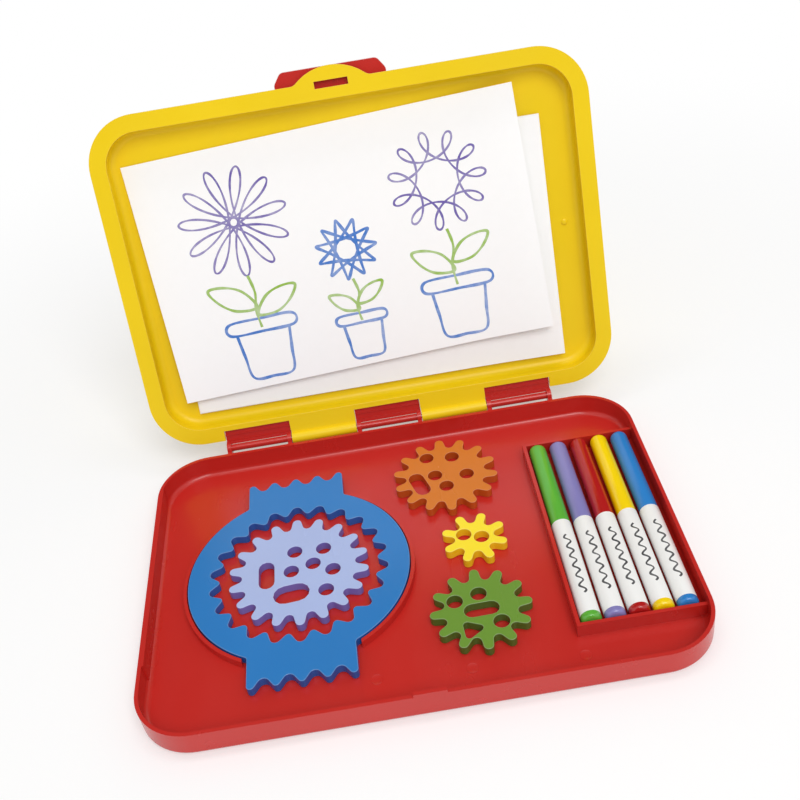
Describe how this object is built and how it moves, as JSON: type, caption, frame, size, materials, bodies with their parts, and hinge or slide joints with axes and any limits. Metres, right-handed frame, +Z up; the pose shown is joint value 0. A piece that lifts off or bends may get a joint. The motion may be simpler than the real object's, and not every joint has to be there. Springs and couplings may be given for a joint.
{
  "type": "gear drawing toy",
  "caption": "Folding carry case with a toothed ring frame, toothed wheels with pen holes, felt markers and paper, for drawing looped patterns.",
  "frame": {"origin": "middle of the tray's flat underside, on the table", "axes": "+X to the right along the hinge, +Y to the hinge at the rear, +Z up"},
  "size_m": [0.32, 0.311, 0.244],
  "materials": {
    "tray_red": "moulded, satin gloss",
    "lid_yellow": "moulded, satin gloss",
    "steel": "drawn wire",
    "ring_blue": "moulded, satin gloss",
    "wheel_lavender": "moulded, satin gloss",
    "wheel_orange": "moulded, satin gloss",
    "wheel_yellow": "moulded, satin gloss",
    "wheel_green": "moulded, satin gloss",
    "paper": "smooth drawing paper",
    "marker_white": "moulded, gloss",
    "marker_green": "moulded, gloss",
    "marker_lavender": "moulded, gloss",
    "marker_red": "moulded, gloss",
    "marker_yellow": "moulded, gloss",
    "marker_blue": "moulded, gloss",
    "felt_green": "bonded fibre soaked with ink",
    "felt_lavender": "bonded fibre soaked with ink",
    "felt_red": "bonded fibre soaked with ink",
    "felt_yellow": "bonded fibre soaked with ink",
    "felt_blue": "bonded fibre soaked with ink"
  },
  "bodies": {
    "tray": {"base_tray": "tray_red", "hinge_pin": "steel"},
    "lid": {"lid": "lid_yellow", "latch_pin": "steel"},
    "latch": {"front_latch": "tray_red"},
    "ring_frame": {"ring_frame": "ring_blue"},
    "large_wheel": {"large_wheel": "wheel_lavender"},
    "medium_wheel": {"medium_wheel": "wheel_orange"},
    "small_wheel": {"small_wheel": "wheel_yellow"},
    "front_wheel": {"front_wheel": "wheel_green"},
    "spare_sheets": {"spare_sheets": "paper"},
    "drawing_sheet": {"drawing_sheet": "paper"},
    "green_marker": {"green_marker_cap": "marker_green", "green_marker_barrel": "marker_white", "green_marker_nib": "felt_green", "green_marker_wick": "felt_green", "green_marker_plug": "marker_green"},
    "lavender_marker": {"lavender_marker_cap": "marker_lavender", "lavender_marker_barrel": "marker_white", "lavender_marker_nib": "felt_lavender", "lavender_marker_wick": "felt_lavender", "lavender_marker_plug": "marker_lavender"},
    "red_marker": {"red_marker_cap": "marker_red", "red_marker_barrel": "marker_white", "red_marker_nib": "felt_red", "red_marker_wick": "felt_red", "red_marker_plug": "marker_red"},
    "yellow_marker": {"yellow_marker_cap": "marker_yellow", "yellow_marker_barrel": "marker_white", "yellow_marker_nib": "felt_yellow", "yellow_marker_wick": "felt_yellow", "yellow_marker_plug": "marker_yellow"},
    "blue_marker": {"blue_marker_cap": "marker_blue", "blue_marker_barrel": "marker_white", "blue_marker_nib": "felt_blue", "blue_marker_wick": "felt_blue", "blue_marker_plug": "marker_blue"}
  },
  "joints": [
    {"name": "lid_hinge", "type": "hinge", "parent": "tray", "child": "lid", "pos_m": [0, 0.1178, 0.017], "axis": [-1, 0, 0], "range_deg": [-108.3, 0]},
    {"name": "latch_swing", "type": "hinge", "parent": "lid", "child": "latch", "pos_m": [0, 0.19326, 0.22798], "axis": [-1, 0, 0], "range_deg": [0, 85]},
    {"name": "spare_sheets_lift", "type": "slide", "parent": "lid", "child": "spare_sheets", "axis": [0, -0.9494, 0.314], "range_m": [0, 0.025]},
    {"name": "drawing_sheet_lift", "type": "slide", "parent": "spare_sheets", "child": "drawing_sheet", "axis": [0, -0.9494, 0.314], "range_m": [0, 0.025]},
    {"name": "ring_frame_lift", "type": "slide", "parent": "tray", "child": "ring_frame", "axis": [0, 0, 1], "range_m": [0, 0.04]},
    {"name": "large_wheel_lift", "type": "slide", "parent": "tray", "child": "large_wheel", "axis": [0, 0, 1], "range_m": [0, 0.04]},
    {"name": "medium_wheel_lift", "type": "slide", "parent": "tray", "child": "medium_wheel", "axis": [0, 0, 1], "range_m": [0, 0.04]},
    {"name": "small_wheel_lift", "type": "slide", "parent": "tray", "child": "small_wheel", "axis": [0, 0, 1], "range_m": [0, 0.04]},
    {"name": "front_wheel_lift", "type": "slide", "parent": "tray", "child": "front_wheel", "axis": [0, 0, 1], "range_m": [0, 0.04]},
    {"name": "green_marker_lift", "type": "slide", "parent": "tray", "child": "green_marker", "axis": [0, 0, 1], "range_m": [0, 0.04]},
    {"name": "lavender_marker_lift", "type": "slide", "parent": "tray", "child": "lavender_marker", "axis": [0, 0, 1], "range_m": [0, 0.04]},
    {"name": "red_marker_lift", "type": "slide", "parent": "tray", "child": "red_marker", "axis": [0, 0, 1], "range_m": [0, 0.04]},
    {"name": "yellow_marker_lift", "type": "slide", "parent": "tray", "child": "yellow_marker", "axis": [0, 0, 1], "range_m": [0, 0.04]},
    {"name": "blue_marker_lift", "type": "slide", "parent": "tray", "child": "blue_marker", "axis": [0, 0, 1], "range_m": [0, 0.04]}
  ]
}
